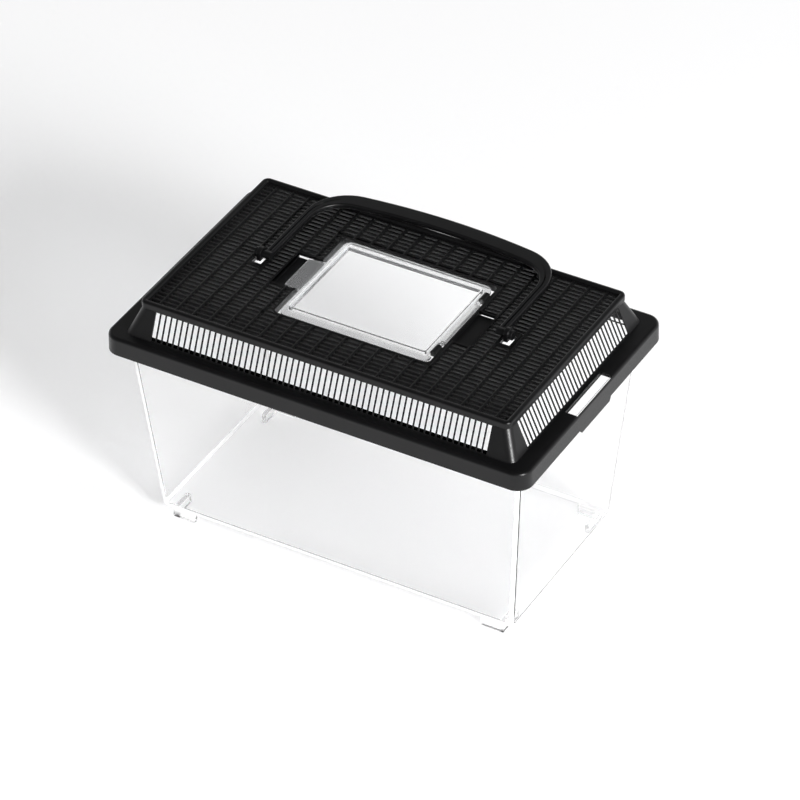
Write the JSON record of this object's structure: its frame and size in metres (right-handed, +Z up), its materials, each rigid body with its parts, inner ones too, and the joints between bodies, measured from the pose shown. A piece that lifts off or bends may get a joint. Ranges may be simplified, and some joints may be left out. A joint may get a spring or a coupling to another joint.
{
  "type": "ventilated pet transport box",
  "caption": "Clear tapered plastic tank with a lift-off black slatted lid, a grille top, a clear hinged hatch and a folding bail handle.",
  "frame": {"origin": "centre of the footprint, on the surface that the feet stand on", "axes": "+X along the length, towards the hatch's hinge; +Y to the back, where the folded handle lies; +Z up"},
  "size_m": [0.2672, 0.1646, 0.1632],
  "materials": {
    "clear_plastic": "clear injection-moulded plastic, polished",
    "clear_hatch": "clear injection-moulded plastic, frosted at the flange, tab and hinge",
    "black_plastic": "black injection-moulded plastic, semi-gloss"
  },
  "bodies": {
    "tank": {"tank_floor": "clear_plastic", "tank_front": "clear_plastic", "tank_back": "clear_plastic", "tank_left": "clear_plastic", "tank_right": "clear_plastic"},
    "lid": {"lid_brim": "black_plastic", "vent_front": "black_plastic", "vent_back": "black_plastic", "vent_left": "black_plastic", "vent_right": "black_plastic", "top_lip": "black_plastic", "grille_front": "black_plastic", "grille_back": "black_plastic", "grille_left": "black_plastic", "grille_right": "black_plastic", "grille_front_left": "black_plastic", "grille_front_right": "black_plastic", "grille_back_left": "black_plastic", "grille_back_right": "black_plastic", "hatch_frame": "black_plastic", "handle_ear_left": "black_plastic", "handle_ear_right": "black_plastic"},
    "hatch": {"hatch": "clear_hatch"},
    "handle": {"handle": "black_plastic"}
  },
  "joints": [
    {"name": "lid_lift", "type": "slide", "parent": "tank", "child": "lid", "axis": [0, 0, 1], "range_m": [0, 0.05]},
    {"name": "hatch_hinge", "type": "hinge", "parent": "lid", "child": "hatch", "pos_m": [0.0489, 0, 0.1554], "axis": [0, 1, 0], "range_deg": [0, 100]},
    {"name": "handle_pivot", "type": "hinge", "parent": "lid", "child": "handle", "pos_m": [0, 0, 0.15935], "axis": [1, 0, 0], "range_deg": [0, 180]}
  ]
}
